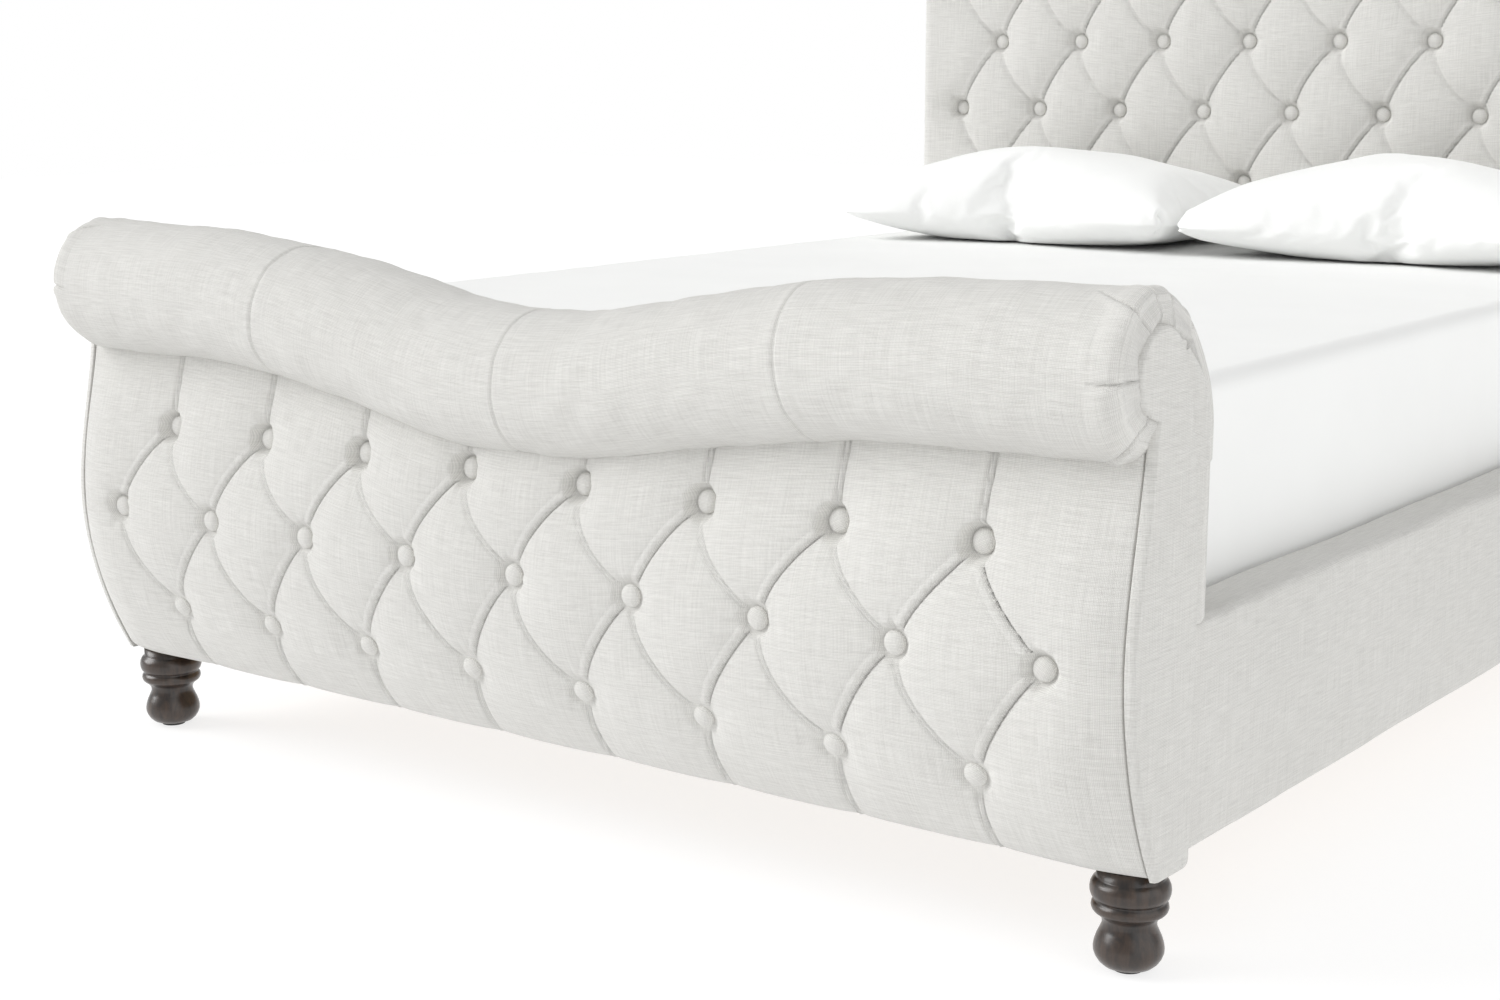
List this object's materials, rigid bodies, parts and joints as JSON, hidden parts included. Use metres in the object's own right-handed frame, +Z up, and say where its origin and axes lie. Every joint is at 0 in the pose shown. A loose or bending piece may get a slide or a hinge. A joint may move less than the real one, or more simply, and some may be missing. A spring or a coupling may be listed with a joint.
{
  "type": "upholstered sleigh bed",
  "caption": "Queen-size sleigh bed with diamond-buttoned upholstery, rolled serpentine head and foot boards, turned feet, slatted base, mattress and pillows.",
  "frame": {"origin": "on the floor, at the middle of the bed's length and width", "axes": "+X to the right of a person standing at the foot, +Y from the footboard to the headboard, +Z up"},
  "size_m": [1.73, 2.558, 1.487],
  "materials": {
    "linen_cover": "pale warm grey linen weave, matt",
    "white_cotton": "white cotton percale, matt",
    "mattress_ticking": "knitted ticking, matt",
    "walnut_foot": "dark walnut stain, satin, lightly rubbed",
    "pine": "sawn and planed softwood",
    "plywood": "raw plywood",
    "birch_slat": "sealed birch laminate",
    "zinc_steel": "bright zinc plate",
    "black_plastic": "matt",
    "black_nonwoven": "non-woven, matt",
    "twine": "waxed twine"
  },
  "bodies": {
    "bedstead": {"beam_brackets": "zinc_steel", "centre_beam": "pine", "centre_leg_front": "pine", "centre_leg_middle": "pine", "centre_leg_rear": "pine", "foot_bolts": "zinc_steel", "foot_front_left": "walnut_foot", "foot_front_right": "walnut_foot", "foot_glides": "black_plastic", "foot_plates": "zinc_steel", "foot_rear_left": "walnut_foot", "foot_rear_right": "walnut_foot", "footboard_button_ties": "twine", "footboard_buttons": "linen_cover", "footboard_corner_posts": "pine", "footboard_cross_rails": "pine", "footboard_curved_board": "plywood", "footboard_dust_cover": "black_nonwoven", "footboard_end_frame_left": "plywood", "footboard_end_frame_right": "plywood", "footboard_end_panel_left": "linen_cover", "footboard_end_panel_right": "linen_cover", "footboard_flat_board": "plywood", "footboard_plain_pad": "linen_cover", "footboard_ribs": "plywood", "footboard_roll_former": "plywood", "footboard_roll_pad": "linen_cover", "footboard_tufted_pad": "linen_cover", "headboard_button_ties": "twine", "headboard_buttons": "linen_cover", "headboard_corner_posts": "pine", "headboard_cross_rails": "pine", "headboard_curved_board": "plywood", "headboard_dust_cover": "black_nonwoven", "headboard_end_frame_left": "plywood", "headboard_end_frame_right": "plywood", "headboard_end_panel_left": "linen_cover", "headboard_end_panel_right": "linen_cover", "headboard_flat_board": "plywood", "headboard_plain_pad": "linen_cover", "headboard_ribs": "plywood", "headboard_roll_former": "plywood", "headboard_roll_pad": "linen_cover", "headboard_tufted_pad": "linen_cover", "rail_hook_plates": "zinc_steel", "rail_receiver_plates": "zinc_steel", "side_rail_core_left": "pine", "side_rail_core_right": "pine", "side_rail_pad_left": "linen_cover", "side_rail_pad_right": "linen_cover", "slat_ledgers": "pine", "slats": "birch_slat"},
    "mattress": {"mattress": "mattress_ticking", "fitted_sheet": "white_cotton"},
    "pillow_left": {"pillow_left": "white_cotton"},
    "pillow_right": {"pillow_right": "white_cotton"},
    "leveller_front": {"leveller_front": "black_plastic"},
    "leveller_middle": {"leveller_middle": "black_plastic"},
    "leveller_rear": {"leveller_rear": "black_plastic"}
  },
  "joints": [
    {"name": "mattress_lift", "type": "slide", "parent": "bedstead", "child": "mattress", "axis": [0, 0, 1], "range_m": [0, 0.6]},
    {"name": "pillow_left_lift", "type": "slide", "parent": "mattress", "child": "pillow_left", "axis": [0, 0, 1], "range_m": [0, 0.4]},
    {"name": "pillow_right_lift", "type": "slide", "parent": "mattress", "child": "pillow_right", "axis": [0, 0, 1], "range_m": [0, 0.4]},
    {"name": "leveller_front_adjust", "type": "slide", "parent": "bedstead", "child": "leveller_front", "axis": [0, 0, 1], "range_m": [0, 0.012]},
    {"name": "leveller_middle_adjust", "type": "slide", "parent": "bedstead", "child": "leveller_middle", "axis": [0, 0, 1], "range_m": [0, 0.012]},
    {"name": "leveller_rear_adjust", "type": "slide", "parent": "bedstead", "child": "leveller_rear", "axis": [0, 0, 1], "range_m": [0, 0.012]}
  ]
}
